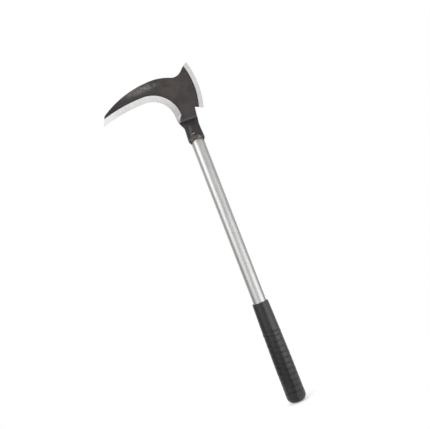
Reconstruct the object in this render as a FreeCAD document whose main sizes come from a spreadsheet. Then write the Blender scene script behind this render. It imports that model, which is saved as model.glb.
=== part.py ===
import FreeCAD, Part

# Long-handled hand sickle whose blade carries a hatchet edge on its back.
# Frame: origin at the centre of the grip's butt, +Z along the handle to the head,
# -X towards the sickle's tip, +X towards the hatchet edge, -Y towards the blade's front face.
# The plate's back face lies in y = 0, on the tube's axis; its front face tapers towards the tip.

import math
import os
import Sketcher
from FreeCAD import Matrix, Placement, Rotation, Vector

# Driving dimensions, in millimetres and degrees.
DIMENSIONS = {
    # stainless tube
    "tube_diameter": 23.0,
    "tube_wall": 1.0,
    "tube_foot_z": 8.0,
    "tube_top_z": 494.0,
    # rubber grip
    "grip_length": 179.0,
    "grip_mouth_radius": 13.85,
    "grip_butt_radius": 16.8,
    "grip_flat_radius": 6.0,
    "grip_dome_z": 11.0,
    "grip_dome_radius": 11.0,
    "grip_barrel_radius": 6300.0,
    "grip_lip_round": 0.9,
    "groove_count": 11,
    "groove_first_z": 20.0,
    "groove_pitch": 10.0,
    "groove_mouth": 2.6,
    "groove_floor": 1.2,
    "groove_depth": 0.85,
    "collar_z": 124.0,
    "collar_width": 7.0,
    "collar_rise": 0.35,
    # rolled socket
    "socket_bore_clearance": 0.05,
    "socket_rim_z": 467.0,
    "socket_rim_radius": 13.7,
    "socket_swell_z": 475.0,
    "socket_swell_radius": 14.35,
    "socket_waist_z": 491.0,
    "socket_waist_radius": 13.3,
    "socket_shoulder_z": 497.0,
    "socket_arch_crown_z": 478.5,
    "socket_arch_radius": 15.0,
    "seam_foot_x": -5.6,
    "seam_top_x": 0.4,
    "seam_top_z": 498.0,
    "seam_width": 0.9,
    "seam_floor": 12.8,
    # flattened tongue behind the plate
    "tongue_thickness": 5.0,
    "tongue_left_x": -18.3,
    "tongue_right_x": 14.9,
    "tongue_neck_left_x": -9.0,
    "tongue_round_radius": 10.5,
    "tongue_neck_z": 519.0,
    "tongue_round_z": 531.0,
    # welds and lock pin
    "rim_weld_radius": 13.8,
    "rim_weld_foot_z": 466.6,
    "rim_weld_arch_z": 472.4,
    "neck_weld_radius": 1.7,
    "neck_weld_reach": 15.5,
    "neck_weld_drop": 1.36,
    "tongue_weld_leg": 3.0,
    "pin_x": -2.2,
    "pin_z": 485.0,
    "pin_diameter": 4.6,
    "pin_sink": 1.5,
    "pin_length": 3.6,
    "pin_dish_radius": 3.2,
    "pin_dish_drop": 2.56,
    # plate: thickness and distal taper
    "plate_foot_z": 508.5,
    "plate_stock_thickness": 10.0,
    "plate_neck_thickness": 5.0,
    "plate_tip_thickness": 3.2,
    "plate_taper_reach": 140.0,
    "edge_thickness": 0.4,
    "plate_edge_round": 0.7,
    # hook: root line of the ground edge, then the cutting edge
    "elbow_x": -60.2,
    "elbow_z": 520.0,
    "root_elbow_radius": 50.8,
    "root_sweep_radius": 258.0,
    "cut_elbow_radius": 40.3,
    "cut_sweep_radius": 268.0,
    "root_tip_x": -133.2,
    "clip_angle": 64.0,
    "heel_x": -18.7,
    "root_heel_x": -15.0,
    "root_heel_radius": 14.0,
    # spine: crown, shoulder, saddle and horn
    "nose_radius": 7.5,
    "crown_x": -38.0,
    "crown_z": 592.4,
    "spine_radius": 171.0,
    "shoulder_radius": 84.0,
    "saddle_radius": 18.0,
    "horn_angle": 42.0,
    # hatchet: root line, then the cutting edge
    "hatchet_root_x": 23.3,
    "hatchet_root_top_z": 596.3,
    "hatchet_root_heel_z": 522.3,
    "hatchet_root_radius": 126.0,
    "hatchet_edge_x": 30.2,
    "hatchet_horn_z": 600.4,
    "hatchet_heel_z": 518.5,
    "hatchet_edge_radius": 146.0,
    "notch_x": 16.7,
    "notch_z": 525.0,
    "foot_right_x": 14.5,
}

doc = FreeCAD.newDocument("hand_sickle")
sheet = doc.addObject("Spreadsheet::Sheet", "dims")
for row, (alias, value) in enumerate(DIMENSIONS.items(), start=1):
    sheet.set(f"A{row}", str(value))
    sheet.setAlias(f"A{row}", alias)
doc.recompute()

SUBPARTS = []

# Two outline points closer than this are the same place.
SAME_PLACE = 0.5


def dim(alias):
    """Value of one cell of the sheet."""
    return float(sheet.get(alias))


def bind(target, prop, expression):
    """Binds one property of an object to the sheet."""
    target.setExpression(prop, expression)


def new_body(label):
    body = doc.addObject("PartDesign::Body", label)
    body.Label = label
    SUBPARTS.append(body)
    return body


def new_sketch(body, name, role):
    """Sketch on one of the body's own origin planes."""
    sketch = body.newObject("Sketcher::SketchObject", name)
    plane = [feature for feature in body.Origin.OriginFeatures if feature.Role == role][0]
    sketch.AttachmentSupport = [(plane, "")]
    sketch.MapMode = "FlatFace"
    return sketch


# ---------------------------------------------------------------- outlines

def polar(centre, radius, angle):
    return centre + Vector(radius * math.cos(angle), radius * math.sin(angle), 0)


def arc_centre(start, end, radius, turn):
    """Centre of the minor arc from start to end; turn is +1 to the left, -1 to the right."""
    chord = end - start
    half = chord.Length / 2
    side = Vector(-chord.y, chord.x, 0).normalize()
    return start + chord * 0.5 + side * (turn * math.sqrt(max(radius ** 2 - half ** 2, 0)))


def tangent_centre(line_point, line_angle, offset, hub, reach, along):
    """Centre of a circle tangent to a line and to a circle about hub.

    The centre stands off the line by offset (positive to the line's left) and is reach away
    from hub; along picks the solution further forward (+1) or back (-1) on the line."""
    forward = Vector(math.cos(line_angle), math.sin(line_angle), 0)
    left = Vector(-forward.y, forward.x, 0)
    base = line_point + left * offset
    to_hub = hub - base
    middle = to_hub.dot(forward)
    spread = math.sqrt(reach ** 2 - to_hub.Length ** 2 + middle ** 2)
    return base + forward * (middle + along * spread)


def half_round(end, turn=1, **binding):
    """Half turn of the tongue's round top, fixed by its ends and its centre's height."""
    return dict(kind="arc", end=end, radius="tongue_round_radius", turn=turn,
                centre_y_of="dims.tongue_round_z", **binding)


def line(end, **binding):
    return dict(kind="line", end=end, **binding)


def arc(end, radius, turn, **binding):
    return dict(kind="arc", end=end, radius=radius, turn=turn, **binding)


def fix_point(sketch, geometry, position, point, x_of=None, y_of=None):
    """Ties a point's distances from the sketch's origin to expressions."""
    for kind, value, expression in (("DistanceX", point.x, x_of), ("DistanceY", point.y, y_of)):
        if expression:
            constraint = Sketcher.Constraint(kind, -1, 1, geometry, position, value)
            index = sketch.addConstraint(constraint)
            bind(sketch, f"Constraints[{index}]", expression)


def add_circle(sketch, centre, radius, x_of, y_of, radius_of):
    """Circle whose centre and radius follow expressions."""
    geometry = sketch.addGeometry(Part.Circle(centre, Vector(0, 0, 1), radius))
    fix_point(sketch, geometry, 3, centre, x_of, y_of)
    index = sketch.addConstraint(Sketcher.Constraint("Radius", geometry, radius))
    bind(sketch, f"Constraints[{index}]", radius_of)


def arc_curve(start, segment):
    """Circle of an arc segment and its two angles, counter-clockwise."""
    radius, turn, end = dim(segment["radius"]), segment["turn"], segment["end"]
    centre = arc_centre(start, end, radius, turn)
    first, last = (start, end) if turn > 0 else (end, start)
    begin, finish = [math.atan2(p.y - centre.y, p.x - centre.x) for p in (first, last)]
    if finish < begin:
        finish += 2 * math.pi
    return Part.Circle(centre, Vector(0, 0, 1), radius), begin, finish


def middle_of(start, segment):
    """Point half way along a segment."""
    if segment["kind"] == "line":
        return (start + segment["end"]) * 0.5
    circle, begin, finish = arc_curve(start, segment)
    return circle.value((begin + finish) / 2)


def draw_outline(sketch, start, segments):
    """Closed chain of lines and arcs.

    A segment may carry x_of and y_of (expressions of its end point), centre_x_of (expression of
    an arc's centre), centre_y_of (in place of its radius), angle_of (the cell of a line's
    direction) and smooth=True where it runs on into the next segment with no corner."""
    drawn = []
    here = start
    for segment in segments:
        if segment["kind"] == "line":
            drawn.append((sketch.addGeometry(Part.LineSegment(here, segment["end"])), 1, 2))
        else:
            geometry = sketch.addGeometry(Part.ArcOfCircle(*arc_curve(here, segment)))
            drawn.append((geometry, 1, 2) if segment["turn"] > 0 else (geometry, 2, 1))
        here = segment["end"]
    for index, (segment, ends) in enumerate(zip(segments, drawn)):
        following = drawn[(index + 1) % len(drawn)]
        join = "Tangent" if segment.get("smooth") else "Coincident"
        sketch.addConstraint(Sketcher.Constraint(join, ends[0], ends[2], following[0], following[1]))
    here = start
    for segment, ends in zip(segments, drawn):
        geometry = ends[0]
        fix_point(sketch, geometry, ends[2], segment["end"], segment.get("x_of"), segment.get("y_of"))
        if segment["kind"] == "arc":
            centre = arc_curve(here, segment)[0].Center
            centre_y_of = segment.get("centre_y_of")
            fix_point(sketch, geometry, 3, centre, segment.get("centre_x_of"), centre_y_of)
            if not centre_y_of:
                cell = segment["radius"]
                index = sketch.addConstraint(Sketcher.Constraint("Radius", geometry, dim(cell)))
                bind(sketch, f"Constraints[{index}]", f"dims.{cell}")
        elif "angle_of" in segment:
            cell = segment["angle_of"]
            angle = math.radians(dim(cell))
            index = sketch.addConstraint(Sketcher.Constraint("Angle", geometry, angle))
            bind(sketch, f"Constraints[{index}]", f"dims.{cell} * 1 deg")
        here = segment["end"]


def polygon(sketch, corners):
    """Closed polygon; each corner is (x, y, expression of x, expression of y)."""
    points = [Vector(corner[0], corner[1], 0) for corner in corners]
    segments = [line(points[i], x_of=corners[i][2], y_of=corners[i][3])
                for i in list(range(1, len(corners))) + [0]]
    draw_outline(sketch, points[0], segments)


def add_feature(body, kind, name, sketch, **settings):
    """PartDesign feature driven by a sketch."""
    doc.recompute()
    feature = body.newObject(f"PartDesign::{kind}", name)
    feature.Profile = sketch
    for prop, value in settings.items():
        setattr(feature, prop, value)
    return feature


def cut_through(body, name, sketch):
    """Pocket through everything on both sides of the sketch."""
    return add_feature(body, "Pocket", name, sketch, Type="ThroughAll", Midplane=True)


def revolve(body, kind, name, sketch):
    """Full turn about the sketch's vertical axis."""
    return add_feature(body, kind, name, sketch, ReferenceAxis=(sketch, ["V_Axis"]), Angle=360)


def round_edges(body, name, wanted, radius_of):
    """Fillet on those edges of the body that pass the test."""
    doc.recompute()
    names = [f"Edge{index}" for index, edge in enumerate(body.Shape.Edges, start=1) if wanted(edge)]
    base = body.Tip
    rounding = body.newObject("PartDesign::Fillet", name)
    rounding.Base = (base, names)
    bind(rounding, "Radius", radius_of)


# ---------------------------------------------------------------- blade geometry

elbow = Vector(dim("elbow_x"), dim("elbow_z"), 0)
root_elbow_start = elbow + Vector(dim("root_elbow_radius"), 0, 0)
root_elbow_end = elbow + Vector(0, dim("root_elbow_radius"), 0)
cut_elbow_start = elbow + Vector(dim("cut_elbow_radius"), 0, 0)
cut_elbow_end = elbow + Vector(0, dim("cut_elbow_radius"), 0)
root_sweep_hub = root_elbow_end - Vector(0, dim("root_sweep_radius"), 0)
cut_sweep_hub = cut_elbow_end - Vector(0, dim("cut_sweep_radius"), 0)

# The tip is clipped along a straight line that crosses both sweeps.
clip_angle = math.radians(dim("clip_angle"))
root_tip_drop = dim("root_tip_x") - dim("elbow_x")
root_tip = root_sweep_hub + Vector(
    root_tip_drop, math.sqrt(dim("root_sweep_radius") ** 2 - root_tip_drop ** 2), 0)
cut_tip = tangent_centre(root_tip, clip_angle, 0, cut_sweep_hub, dim("cut_sweep_radius"), 1)

crown = Vector(dim("crown_x"), dim("crown_z"), 0)
spine_hub = crown - Vector(0, dim("spine_radius"), 0)
shoulder_hub = crown - Vector(0, dim("shoulder_radius"), 0)
nose_hub = tangent_centre(root_tip, clip_angle, -dim("nose_radius"), spine_hub,
                          dim("spine_radius") - dim("nose_radius"), 1)
nose_start = polar(nose_hub, dim("nose_radius"), clip_angle + math.pi / 2)
nose_end = spine_hub + (nose_hub - spine_hub).normalize() * dim("spine_radius")

hatchet_root_top = Vector(dim("hatchet_root_x"), dim("hatchet_root_top_z"), 0)
hatchet_root_heel = Vector(dim("hatchet_root_x"), dim("hatchet_root_heel_z"), 0)
hatchet_horn = Vector(dim("hatchet_edge_x"), dim("hatchet_horn_z"), 0)
hatchet_heel = Vector(dim("hatchet_edge_x"), dim("hatchet_heel_z"), 0)
horn_angle = math.radians(dim("horn_angle"))
saddle_hub = tangent_centre(hatchet_root_top, horn_angle, dim("saddle_radius"), shoulder_hub,
                            dim("shoulder_radius") + dim("saddle_radius"), 1)
saddle_start = shoulder_hub + (saddle_hub - shoulder_hub).normalize() * dim("shoulder_radius")
saddle_end = polar(saddle_hub, dim("saddle_radius"), horn_angle - math.pi / 2)

notch = Vector(dim("notch_x"), dim("notch_z"), 0)
foot_right = Vector(dim("foot_right_x"), dim("plate_foot_z"), 0)
foot_left = Vector(dim("root_heel_x"), dim("plate_foot_z"), 0)
cut_heel = Vector(dim("heel_x"), dim("plate_foot_z"), 0)

ROOT_HEEL = arc(root_elbow_start, "root_heel_radius", -1,
                x_of="dims.elbow_x + dims.root_elbow_radius", y_of="dims.elbow_z")
ROOT_ELBOW = arc(root_elbow_end, "root_elbow_radius", 1,
                 x_of="dims.elbow_x", y_of="dims.elbow_z + dims.root_elbow_radius")
ROOT_SWEEP = arc(root_tip, "root_sweep_radius", 1, x_of="dims.root_tip_x", centre_x_of="dims.elbow_x")
HATCHET_ROOT = arc(hatchet_root_heel, "hatchet_root_radius", -1,
                   x_of="dims.hatchet_root_x", y_of="dims.hatchet_root_heel_z")

# Clockwise from the tip along the spine, round the hatchet and back up the inside of the hook.
BLADE_OUTLINE = [
    line(nose_start, angle_of="clip_angle", smooth=True, rounded=True),
    arc(nose_end, "nose_radius", -1, smooth=True, rounded=True),
    arc(crown, "spine_radius", -1, x_of="dims.crown_x", y_of="dims.crown_z",
        centre_x_of="dims.crown_x", rounded=True),
    arc(saddle_start, "shoulder_radius", -1, centre_x_of="dims.crown_x", smooth=True, rounded=True),
    arc(saddle_end, "saddle_radius", 1, smooth=True, rounded=True),
    line(hatchet_root_top, angle_of="horn_angle", rounded=True,
         x_of="dims.hatchet_root_x", y_of="dims.hatchet_root_top_z"),
    HATCHET_ROOT,
    line(notch, x_of="dims.notch_x", y_of="dims.notch_z", rounded=True),
    line(foot_right, x_of="dims.foot_right_x", y_of="dims.plate_foot_z", rounded=True),
    line(foot_left, x_of="dims.root_heel_x", y_of="dims.plate_foot_z"),
    ROOT_HEEL,
    ROOT_ELBOW,
    ROOT_SWEEP,
]


def build_blade_body():
    """Forged plate: outline padded to the front, its front face ground down towards the tip."""
    body = new_body("blade_body")
    outline = new_sketch(body, "blade_outline", "XZ_Plane")
    draw_outline(outline, root_tip, BLADE_OUTLINE)
    add_feature(body, "Pad", "blade_pad", outline)
    bind(doc.blade_pad, "Length", "dims.plate_stock_thickness")

    taper = new_sketch(body, "taper_outline", "XY_Plane")
    tip, neck, reach = dim("plate_tip_thickness"), dim("plate_neck_thickness"), dim("plate_taper_reach")
    clear = -2 * dim("plate_stock_thickness")
    beyond_neck = "dims.plate_tip_thickness - 2 * dims.plate_neck_thickness"
    polygon(taper, [
        (-reach, -tip, "-dims.plate_taper_reach", "-dims.plate_tip_thickness"),
        (reach, tip - 2 * neck, "dims.plate_taper_reach", beyond_neck),
        (reach, clear, "dims.plate_taper_reach", "-2 * dims.plate_stock_thickness"),
        (-reach, clear, "-dims.plate_taper_reach", "-2 * dims.plate_stock_thickness"),
    ])
    cut_through(body, "taper_cut", taper)

    middles = []
    here = root_tip
    for segment in BLADE_OUTLINE:
        if segment.get("rounded"):
            middles.append(middle_of(here, segment))
        here = segment["end"]

    def on_rounded_outline(edge):
        start, end = edge.ParameterRange
        point = edge.valueAt((start + end) / 2)
        flat = Vector(point.x, point.z, 0)
        crosses_plate = edge.BoundBox.YLength > tip / 2
        return not crosses_plate and min(flat.distanceToPoint(m) for m in middles) < SAME_PLACE

    round_edges(body, "blade_rounding", on_rounded_outline, "dims.plate_edge_round")


def plate_matrix(share, stand_off):
    """Carries a drawing in y = 0 to a level in the plate: share 0 is the back face, 1 the front."""
    slope = (dim("plate_neck_thickness") - dim("plate_tip_thickness")) / dim("plate_taper_reach")
    matrix = Matrix()
    matrix.A21 = -share * slope
    matrix.A24 = -share * dim("plate_neck_thickness") + stand_off
    return matrix


def plate_edge(start, segment):
    """A segment as an edge in the plane y = 0."""
    middle = middle_of(start, segment)
    points = [Vector(p.x, 0, p.y) for p in (start, middle, segment["end"])]
    if segment["kind"] == "line":
        return Part.makeLine(points[0], points[2])
    return Part.Arc(*points).toShape()


def edge_chain(start, segments):
    edges = []
    for segment in segments:
        edges.append(plate_edge(start, segment))
        start = segment["end"]
    return edges


def build_edge_steel(label, root, cut):
    """Edge steel, as thick as the plate along its root and ground from both faces to the edge.

    Every face is ruled between the root line and the cutting edge, so the bevel follows the
    plate's taper, which no pad or sweep of one section does."""
    half_edge = dim("edge_thickness") / 2
    levels = [(root, plate_matrix(0, 0)), (cut, plate_matrix(0.5, half_edge)),
              (cut, plate_matrix(0.5, -half_edge)), (root, plate_matrix(1, 0))]
    lines = [[edge.transformGeometry(matrix) for edge in edges] for edges, matrix in levels]
    faces = []
    for upper, lower in zip(lines, lines[1:] + lines[:1]):
        faces += [Part.makeRuledSurface(a, b) for a, b in zip(upper, lower)]
    for edge_index, vertex_index in ((0, 0), (-1, -1)):
        corners = [level[edge_index].Vertexes[vertex_index].Point for level in lines]
        faces.append(Part.Face(Part.makePolygon(corners + corners[:1])))
    shell = Part.makeShell(faces)
    shell.sewShape()
    feature = doc.addObject("Part::Feature", label)
    feature.Label = label
    feature.Shape = Part.makeSolid(shell)
    feature.Placement = Placement()
    SUBPARTS.append(feature)


def build_sickle_edge():
    root = edge_chain(foot_left, [ROOT_HEEL, ROOT_ELBOW, ROOT_SWEEP])
    cut = edge_chain(cut_heel, [line(cut_elbow_start), arc(cut_elbow_end, "cut_elbow_radius", 1),
                                arc(cut_tip, "cut_sweep_radius", 1)])
    build_edge_steel("sickle_edge", root, cut)


def build_hatchet_edge():
    root = edge_chain(hatchet_root_top, [HATCHET_ROOT])
    cut = edge_chain(hatchet_horn, [arc(hatchet_heel, "hatchet_edge_radius", -1)])
    build_edge_steel("hatchet_edge", root, cut)


# ---------------------------------------------------------------- socket and handle

def build_handle_tube():
    body = new_body("handle_tube")
    ring = new_sketch(body, "tube_ring", "XY_Plane")
    bind(ring, "AttachmentOffset.Base.z", "dims.tube_foot_z")
    radius = dim("tube_diameter") / 2
    add_circle(ring, Vector(), radius, "0", "0", "dims.tube_diameter / 2")
    add_circle(ring, Vector(), radius - dim("tube_wall"), "0", "0",
               "dims.tube_diameter / 2 - dims.tube_wall")
    add_feature(body, "Pad", "tube_pad", ring)
    bind(doc.tube_pad, "Length", "dims.tube_top_z - dims.tube_foot_z")
    drill_pin_hole(body, "tube")


def drill_pin_hole(body, name):
    """Round hole for the lock pin, through the front wall only."""
    hole = new_sketch(body, f"{name}_pin_outline", "XZ_Plane")
    add_circle(hole, Vector(dim("pin_x"), dim("pin_z"), 0), dim("pin_diameter") / 2,
               "dims.pin_x", "dims.pin_z", "dims.pin_diameter / 2")
    add_feature(body, "Pocket", f"{name}_pin_hole", hole, Reversed=True)
    bind(doc.getObject(f"{name}_pin_hole"), "Length", "dims.tube_diameter")


def add_arch(sketch, crown_cell):
    """Circle whose top is the crown of an arch cut across the tube."""
    radius = dim("socket_arch_radius")
    add_circle(sketch, Vector(0, dim(crown_cell) - radius, 0), radius, "0",
               f"dims.{crown_cell} - dims.socket_arch_radius", "dims.socket_arch_radius")


def build_socket():
    """Rolled socket: waisted round mouth, then flattened into a tongue behind the plate."""
    body = new_body("socket")
    bore = dim("tube_diameter") / 2 + dim("socket_bore_clearance")
    bore_of = "dims.tube_diameter / 2 + dims.socket_bore_clearance"
    wall = new_sketch(body, "socket_wall", "XZ_Plane")
    polygon(wall, [
        (bore, dim("socket_rim_z"), bore_of, "dims.socket_rim_z"),
        (dim("socket_rim_radius"), dim("socket_rim_z"), "dims.socket_rim_radius", "dims.socket_rim_z"),
        (dim("socket_swell_radius"), dim("socket_swell_z"),
         "dims.socket_swell_radius", "dims.socket_swell_z"),
        (dim("socket_waist_radius"), dim("socket_waist_z"),
         "dims.socket_waist_radius", "dims.socket_waist_z"),
        (dim("socket_waist_radius"), dim("socket_shoulder_z"),
         "dims.socket_waist_radius", "dims.socket_shoulder_z"),
        (0, dim("socket_shoulder_z"), "0", "dims.socket_shoulder_z"),
        (0, dim("tube_top_z"), "0", "dims.tube_top_z"),
        (bore, dim("tube_top_z"), bore_of, "dims.tube_top_z"),
    ])
    revolve(body, "Revolution", "socket_round", wall)

    round_end = new_sketch(body, "transition_round", "XY_Plane")
    bind(round_end, "AttachmentOffset.Base.z", "dims.socket_shoulder_z")
    draw_quartered_circle(round_end, "socket_waist_radius")
    flat_end = new_sketch(body, "transition_flat", "XY_Plane")
    bind(flat_end, "AttachmentOffset.Base.z", "dims.plate_foot_z")
    draw_flat_end(flat_end)
    add_feature(body, "AdditiveLoft", "socket_transition", round_end, Sections=[flat_end], Ruled=True)

    tongue = new_sketch(body, "tongue_outline", "XZ_Plane")
    draw_tongue(tongue)
    add_feature(body, "Pad", "tongue_pad", tongue, Reversed=True)
    bind(doc.tongue_pad, "Length", "dims.tongue_thickness")

    arch = new_sketch(body, "socket_arch", "XZ_Plane")
    add_arch(arch, "socket_arch_crown_z")
    cut_through(body, "socket_arch_cut", arch)
    drill_pin_hole(body, "socket")
    cut_seam(body)


def draw_quartered_circle(sketch, radius_cell):
    """Circle in four arcs, to match the four sides of the flat end."""
    radius = dim(radius_cell)
    half = radius * math.sqrt(0.5)
    corners = [Vector(-half, -half, 0), Vector(half, -half, 0), Vector(half, half, 0),
               Vector(-half, half, 0)]
    segments = [arc(corners[i], radius_cell, 1,
                    x_of=f"{sx}dims.{radius_cell} * sqrt(0.5)", y_of=f"{sy}dims.{radius_cell} * sqrt(0.5)")
                for i, sx, sy in ((1, "", "-"), (2, "", ""), (3, "-", ""), (0, "-", "-"))]
    draw_outline(sketch, corners[0], segments)


def draw_flat_end(sketch):
    """Rectangle of the tongue's foot: its front side in y = 0, against the plate."""
    left, right = dim("tongue_left_x"), dim("tongue_right_x")
    thick = dim("tongue_thickness")
    polygon(sketch, [
        (left, 0, "dims.tongue_left_x", "0"),
        (right, 0, "dims.tongue_right_x", "0"),
        (right, thick, "dims.tongue_right_x", "dims.tongue_thickness"),
        (left, thick, "dims.tongue_left_x", "dims.tongue_thickness"),
    ])


def tongue_sides():
    """Neck corners and the ends of the half-round top, left then right."""
    left = dim("tongue_neck_left_x")
    right = left + 2 * dim("tongue_round_radius")
    return [[Vector(x, dim(cell), 0) for cell in ("tongue_neck_z", "tongue_round_z")]
            for x in (left, right)]


LEFT_OF = "dims.tongue_neck_left_x"
RIGHT_OF = "dims.tongue_neck_left_x + 2 * dims.tongue_round_radius"


def draw_tongue(sketch):
    """Tongue: it narrows from the flat end and has a half-round top."""
    (left_neck, left_top), (right_neck, right_top) = tongue_sides()
    foot = dim("plate_foot_z")
    start = Vector(dim("tongue_left_x"), foot, 0)
    draw_outline(sketch, start, [
        line(Vector(dim("tongue_right_x"), foot, 0), x_of="dims.tongue_right_x", y_of="dims.plate_foot_z"),
        line(right_neck, x_of=RIGHT_OF, y_of="dims.tongue_neck_z"),
        line(right_top, x_of=RIGHT_OF, y_of="dims.tongue_round_z"),
        half_round(left_top, x_of=LEFT_OF, y_of="dims.tongue_round_z"),
        line(left_neck, x_of=LEFT_OF, y_of="dims.tongue_neck_z"),
        line(start, x_of="dims.tongue_left_x", y_of="dims.plate_foot_z"),
    ])


def cut_seam(body):
    """Narrow groove where the rolled edges of the socket meet, leaning across the front."""
    seam = new_sketch(body, "seam_outline", "XZ_Plane")
    bind(seam, "AttachmentOffset.Base.z", "dims.socket_swell_radius * 2")
    half = dim("seam_width") / 2
    corners = []
    for cell_x, cell_z, side in (("seam_foot_x", "socket_rim_z", -1), ("seam_foot_x", "socket_rim_z", 1),
                                 ("seam_top_x", "seam_top_z", 1), ("seam_top_x", "seam_top_z", -1)):
        corners.append((dim(cell_x) + side * half, dim(cell_z),
                        f"dims.{cell_x} + {side} * dims.seam_width / 2", f"dims.{cell_z}"))
    polygon(seam, corners)
    add_feature(body, "Pocket", "seam_cut", seam)
    bind(doc.seam_cut, "Length", "dims.socket_swell_radius * 2 - dims.seam_floor")


def build_rim_weld():
    """Weld that fills the socket's arched mouth, a crescent on the front and on the back."""
    body = new_body("rim_weld")
    bead = new_sketch(body, "rim_weld_section", "XZ_Plane")
    inner, outer = dim("tube_diameter") / 2, dim("rim_weld_radius")
    foot, swell, top = dim("rim_weld_foot_z"), dim("socket_swell_z"), dim("seam_top_z")
    polygon(bead, [
        (inner, foot, "dims.tube_diameter / 2", "dims.rim_weld_foot_z"),
        (outer, swell, "dims.rim_weld_radius", "dims.socket_swell_z"),
        (outer, top, "dims.rim_weld_radius", "dims.seam_top_z"),
        (inner, top, "dims.tube_diameter / 2", "dims.seam_top_z"),
    ])
    revolve(body, "Revolution", "rim_weld_ring", bead)

    # The frame cut away round the arch stands three of its radii out, clear of the ring.
    mouth = new_sketch(body, "rim_weld_mouth", "XZ_Plane")
    add_arch(mouth, "socket_arch_crown_z")
    wide, crown_z = 3 * dim("socket_arch_radius"), dim("socket_arch_crown_z")
    across = "3 * dims.socket_arch_radius"
    below, above = [f"dims.socket_arch_crown_z {sign} {across}" for sign in "-+"]
    polygon(mouth, [
        (-wide, crown_z - wide, f"-{across}", below),
        (wide, crown_z - wide, across, below),
        (wide, crown_z + wide, across, above),
        (-wide, crown_z + wide, f"-{across}", above),
    ])
    cut_through(body, "rim_weld_top_cut", mouth)

    lower = new_sketch(body, "rim_weld_lower_arch", "XZ_Plane")
    add_arch(lower, "rim_weld_arch_z")
    cut_through(body, "rim_weld_lower_cut", lower)


def build_neck_weld():
    """Bead in the crease between the plate's lower edge and the socket's slope."""
    bead = doc.addObject("Part::Ellipsoid", "neck_bead")
    for prop, cell in (("Radius1", "neck_weld_radius"), ("Radius2", "neck_weld_reach"),
                       ("Radius3", "neck_weld_radius")):
        bind(bead, prop, f"dims.{cell}")
    bind(bead, "Placement.Base.x", "(dims.tongue_left_x + dims.tongue_right_x) / 2")
    bind(bead, "Placement.Base.y", "-dims.neck_weld_radius")
    bind(bead, "Placement.Base.z", "dims.plate_foot_z - dims.neck_weld_drop")
    under_plate = doc.addObject("Part::Cut", "neck_bead_under_plate")
    under_plate.Base = bead
    under_plate.Tool = doc.blade_body
    weld = doc.addObject("Part::Cut", "neck_weld")
    weld.Label = "neck_weld"
    weld.Base = under_plate
    weld.Tool = doc.socket
    SUBPARTS.append(weld)


def build_tongue_weld():
    """Quarter-round bead up one side of the tongue, over its top and down the other."""
    body = new_body("tongue_weld")
    (left_neck, left_top), (right_neck, right_top) = tongue_sides()
    path = new_sketch(body, "tongue_weld_path", "XZ_Plane")
    first = path.addGeometry(Part.LineSegment(left_neck, left_top))
    over = half_round(right_top, turn=-1)
    second = path.addGeometry(Part.ArcOfCircle(*arc_curve(left_top, over)))
    third = path.addGeometry(Part.LineSegment(right_top, right_neck))
    path.addConstraint(Sketcher.Constraint("Tangent", first, 2, second, 2))
    path.addConstraint(Sketcher.Constraint("Tangent", second, 1, third, 1))
    fix_point(path, first, 1, left_neck, LEFT_OF, "dims.tongue_neck_z")
    fix_point(path, first, 2, left_top, LEFT_OF, "dims.tongue_round_z")
    fix_point(path, third, 2, right_neck, RIGHT_OF, "dims.tongue_neck_z")

    section = new_sketch(body, "tongue_weld_section", "XY_Plane")
    bind(section, "AttachmentOffset.Base.z", "dims.tongue_neck_z")
    leg, corner_x = dim("tongue_weld_leg"), left_neck.x
    corner = Vector(corner_x, 0, 0)
    on_plate = Vector(corner_x - leg, 0, 0)
    on_tongue = Vector(corner_x, leg, 0)
    draw_outline(section, corner, [
        line(on_plate, x_of=f"{LEFT_OF} - dims.tongue_weld_leg", y_of="0"),
        arc(on_tongue, "tongue_weld_leg", -1, x_of=LEFT_OF, y_of="dims.tongue_weld_leg"),
        line(corner, x_of=LEFT_OF, y_of="0"),
    ])
    add_feature(body, "AdditivePipe", "tongue_weld_pipe", section, Spine=(path, []))


def build_lock_pin():
    """Short pin through the walls of socket and tube, its dished head below the surface."""
    shank = doc.addObject("Part::Cylinder", "pin_shank")
    bind(shank, "Radius", "dims.pin_diameter / 2")
    bind(shank, "Height", "dims.pin_length")
    shank.Placement.Rotation = Rotation(Vector(1, 0, 0), 90)
    head_y = "-dims.socket_waist_radius + dims.pin_sink"
    bind(shank, "Placement.Base.x", "dims.pin_x")
    bind(shank, "Placement.Base.y", f"{head_y} + dims.pin_length")
    bind(shank, "Placement.Base.z", "dims.pin_z")
    dish = doc.addObject("Part::Sphere", "pin_dish")
    bind(dish, "Radius", "dims.pin_dish_radius")
    bind(dish, "Placement.Base.x", "dims.pin_x")
    bind(dish, "Placement.Base.y", f"{head_y} - dims.pin_dish_drop")
    bind(dish, "Placement.Base.z", "dims.pin_z")
    pin = doc.addObject("Part::Cut", "lock_pin")
    pin.Label = "lock_pin"
    pin.Base = shank
    pin.Tool = dish
    SUBPARTS.append(pin)


# ---------------------------------------------------------------- grip

def barrel_hub():
    """Centre of the long arc that shapes the grip's side, from the dome to the mouth."""
    start = Vector(dim("grip_butt_radius"), dim("grip_dome_z"), 0)
    end = Vector(dim("grip_mouth_radius"), dim("grip_length"), 0)
    return arc_centre(start, end, dim("grip_barrel_radius"), 1)


def barrel_radius_at(z):
    """Outer radius of the plain grip at a height."""
    hub = barrel_hub()
    return hub.x + math.sqrt(dim("grip_barrel_radius") ** 2 - (z - hub.y) ** 2)


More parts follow.
